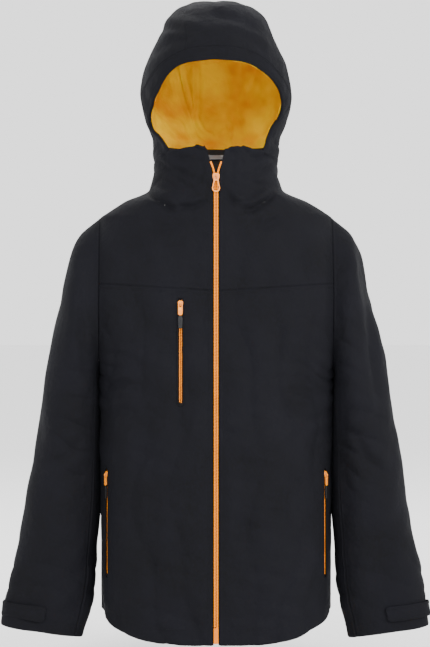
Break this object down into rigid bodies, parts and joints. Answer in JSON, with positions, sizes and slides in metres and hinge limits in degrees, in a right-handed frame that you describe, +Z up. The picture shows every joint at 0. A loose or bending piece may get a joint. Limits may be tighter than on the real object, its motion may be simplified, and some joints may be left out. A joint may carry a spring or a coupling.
{
  "type": "ski jacket",
  "caption": "Hooded ski jacket hanging as worn, with a front zip, chest and hand pocket zips, cuff tabs and a lined hood.",
  "frame": {"origin": "between the shoulders at the base of the neck, where the wearer or a hanger holds the jacket up", "axes": "+Z up, -Y the way the front faces, +X the side of the wearer's left arm"},
  "size_m": [0.7534, 0.2918, 1.111],
  "materials": {
    "shell_fabric": "plain-woven polyester, matt",
    "lining_fabric": "woven taffeta, low sheen",
    "dark_lining": "woven polyester, matt",
    "wadding": "polyester wadding",
    "zip_tape": "knitted polyester tape",
    "zip_teeth": "moulded acetal",
    "zip_slider": "painted zinc die casting",
    "rubber_tab": "moulded soft rubber",
    "label_satin": "woven satin",
    "webbing": "woven tape and hook-and-loop"
  },
  "bodies": {
    "garment": {"front_panel_left": "shell_fabric", "front_panel_right": "shell_fabric", "front_yoke_left": "shell_fabric", "front_yoke_right": "shell_fabric", "back_panel": "shell_fabric", "back_yoke": "shell_fabric", "body_wadding_front_left": "wadding", "body_wadding_front_right": "wadding", "body_wadding_back": "wadding", "body_lining_front_left": "lining_fabric", "body_lining_front_right": "lining_fabric", "body_lining_back": "lining_fabric", "wind_flap": "dark_lining", "collar": "shell_fabric", "collar_lining": "dark_lining", "hang_loop": "webbing", "front_zip_teeth_left": "zip_teeth", "front_zip_teeth_right": "zip_teeth", "front_zip_tape_left": "zip_tape", "front_zip_tape_right": "zip_tape", "front_zip_box": "zip_teeth", "chest_zip_teeth": "zip_teeth", "hand_left_zip_teeth": "zip_teeth", "hand_right_zip_teeth": "zip_teeth", "chest_zip_tape": "zip_tape", "hand_left_zip_tape": "zip_tape", "hand_right_zip_tape": "zip_tape", "chest_pocket_bag": "dark_lining", "hand_left_pocket_bag": "dark_lining", "hand_right_pocket_bag": "dark_lining"},
    "hood": {"hood_brim": "shell_fabric", "hood_centre_panel": "shell_fabric", "hood_side_panel_left": "shell_fabric", "hood_side_panel_right": "shell_fabric", "hood_lining": "lining_fabric", "neck_label": "label_satin"},
    "front_slider": {"front_zip_slider": "zip_slider"},
    "front_pull": {"front_zip_pull": "zip_slider"},
    "chest_slider": {"chest_zip_slider": "zip_slider"},
    "chest_pull": {"chest_zip_pull": "zip_slider", "chest_zip_tab": "rubber_tab"},
    "hand_left_slider": {"hand_left_zip_slider": "zip_slider"},
    "hand_left_pull": {"hand_left_zip_pull": "zip_slider", "hand_left_zip_tab": "rubber_tab"},
    "hand_right_slider": {"hand_right_zip_slider": "zip_slider"},
    "hand_right_pull": {"hand_right_zip_pull": "zip_slider", "hand_right_zip_tab": "rubber_tab"},
    "sleeve_left": {"sleeve_top_panel_left": "shell_fabric", "sleeve_under_panel_left": "shell_fabric", "sleeve_wadding_left": "wadding", "sleeve_lining_left": "lining_fabric", "cuff_patch_left": "webbing"},
    "cuff_tab_left": {"cuff_tab_left": "shell_fabric"},
    "sleeve_right": {"sleeve_top_panel_right": "shell_fabric", "sleeve_under_panel_right": "shell_fabric", "sleeve_wadding_right": "wadding", "sleeve_lining_right": "lining_fabric", "cuff_patch_right": "webbing"},
    "cuff_tab_right": {"cuff_tab_right": "shell_fabric"}
  },
  "joints": [
    {"name": "hood_tilt", "type": "hinge", "parent": "garment", "child": "hood", "pos_m": [0, 0.09, 0.02193], "axis": [-1, 0, 0], "range_deg": [0, 45]},
    {"name": "front_zip_run", "type": "slide", "parent": "garment", "child": "front_slider", "axis": [0, 0.0486, 0.9988], "range_m": [-0.7639, 0.02]},
    {"name": "front_pull_flip", "type": "hinge", "parent": "front_slider", "child": "front_pull", "pos_m": [0, -0.11394, 0.01783], "axis": [-1, 0, 0], "range_deg": [0, 165]},
    {"name": "chest_zip_run", "type": "slide", "parent": "garment", "child": "chest_slider", "axis": [0, 0.0445, 0.999], "range_m": [-0.164, 0]},
    {"name": "chest_pull_flip", "type": "hinge", "parent": "chest_slider", "child": "chest_pull", "pos_m": [-0.06124, -0.12271, -0.20217], "axis": [-0.9962, 0.0872, -0.0039], "range_deg": [0, 165]},
    {"name": "hand_left_zip_run", "type": "slide", "parent": "garment", "child": "hand_left_slider", "axis": [0, 0.0229, 0.9997], "range_m": [-0.1678, 0]},
    {"name": "hand_left_pull_flip", "type": "hinge", "parent": "hand_left_slider", "child": "hand_left_pull", "pos_m": [0.19249, -0.06549, -0.49827], "axis": [-0.4559, -0.8898, 0.0204], "range_deg": [0, 110]},
    {"name": "hand_right_zip_run", "type": "slide", "parent": "garment", "child": "hand_right_slider", "axis": [0, 0.0229, 0.9997], "range_m": [-0.1678, 0]},
    {"name": "hand_right_pull_flip", "type": "hinge", "parent": "hand_right_slider", "child": "hand_right_pull", "pos_m": [-0.19249, -0.06549, -0.49827], "axis": [-0.4559, 0.8898, -0.0204], "range_deg": [0, 110]},
    {"name": "sleeve_left_raise", "type": "hinge", "parent": "garment", "child": "sleeve_left", "pos_m": [0.2033, 0, -0.048], "axis": [0, -1, 0], "range_deg": [0, 60]},
    {"name": "cuff_tab_left_open", "type": "hinge", "parent": "sleeve_left", "child": "cuff_tab_left", "pos_m": [0.32631, 0.01803, -0.72773], "axis": [-0.1766, 0.2784, 0.9441], "range_deg": [0, 90]},
    {"name": "sleeve_right_raise", "type": "hinge", "parent": "garment", "child": "sleeve_right", "pos_m": [-0.2033, 0, -0.048], "axis": [0, 1, 0], "range_deg": [0, 60]},
    {"name": "cuff_tab_right_open", "type": "hinge", "parent": "sleeve_right", "child": "cuff_tab_right", "pos_m": [-0.32631, 0.01803, -0.72773], "axis": [-0.1766, -0.2784, -0.9441], "range_deg": [0, 90]}
  ]
}
